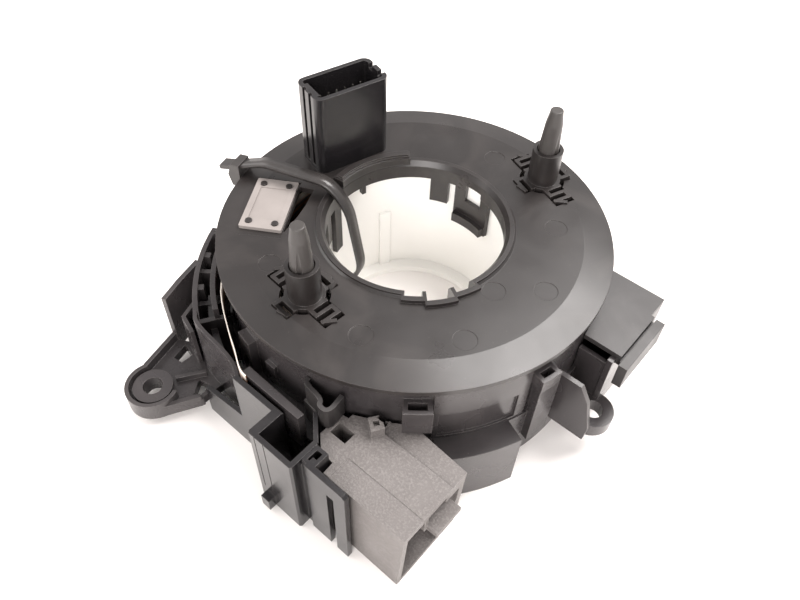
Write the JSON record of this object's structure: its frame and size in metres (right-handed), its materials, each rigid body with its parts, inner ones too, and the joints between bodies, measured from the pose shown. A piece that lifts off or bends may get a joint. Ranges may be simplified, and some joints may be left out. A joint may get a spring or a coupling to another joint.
{
  "type": "steering clock spring",
  "caption": "Round steering clock spring with a turning disc, a wound flat ribbon cable, tall and wide plug sockets, driver pins, screw lugs and a loop tie.",
  "frame": {"origin": "on the steering axis, in the plane that the base housing rests on, at the lower end of the hub's bore", "axes": "+Z along the steering axis towards the wheel, +X the way that the large plug socket opens, +Y to complete a right-handed frame"},
  "size_m": [0.1256, 0.1289, 0.0663],
  "materials": {
    "rotor_black": "satin moulded black plastic",
    "base_black": "smooth moulded black plastic",
    "cover_black": "fine textured black plastic",
    "connector_black": "polished black plastic",
    "lead_frame_black": "satin",
    "socket_grey": "spark textured dark grey plastic",
    "pin_grey": "satin",
    "hub_white": "natural white plastic",
    "window_clear": "frosted clear plastic",
    "ribbon_clear": "clear film over copper tracks",
    "terminal_tinned": "bright tin plate",
    "tie_black": "smooth nylon"
  },
  "bodies": {
    "housing": {"base_housing": "base_black", "ribbon_housing": "base_black", "side_cover": "cover_black", "ribbon_cable": "ribbon_clear", "terminal_block": "base_black", "box_terminals": "terminal_tinned", "ribbon_end_holder": "cover_black", "connector_socket": "socket_grey", "socket_terminals": "terminal_tinned", "cable_tie": "tie_black"},
    "rotor": {"rotor_disc": "rotor_black", "inner_hub": "hub_white", "window_plate": "window_clear", "wheel_connector": "connector_black", "wheel_terminals": "terminal_tinned", "inner_lead_frame": "lead_frame_black", "pin_sleeve_left": "rotor_black", "pin_sleeve_right": "rotor_black", "driver_pin_left": "pin_grey", "driver_pin_right": "pin_grey"}
  },
  "joints": [
    {"name": "rotor_turn", "type": "hinge", "parent": "housing", "child": "rotor", "pos_m": [0, 0, 0.042], "axis": [0, 0, 1], "range_deg": [-1080, 1080], "deforming": ["ribbon_cable", "cable_tie"]}
  ]
}
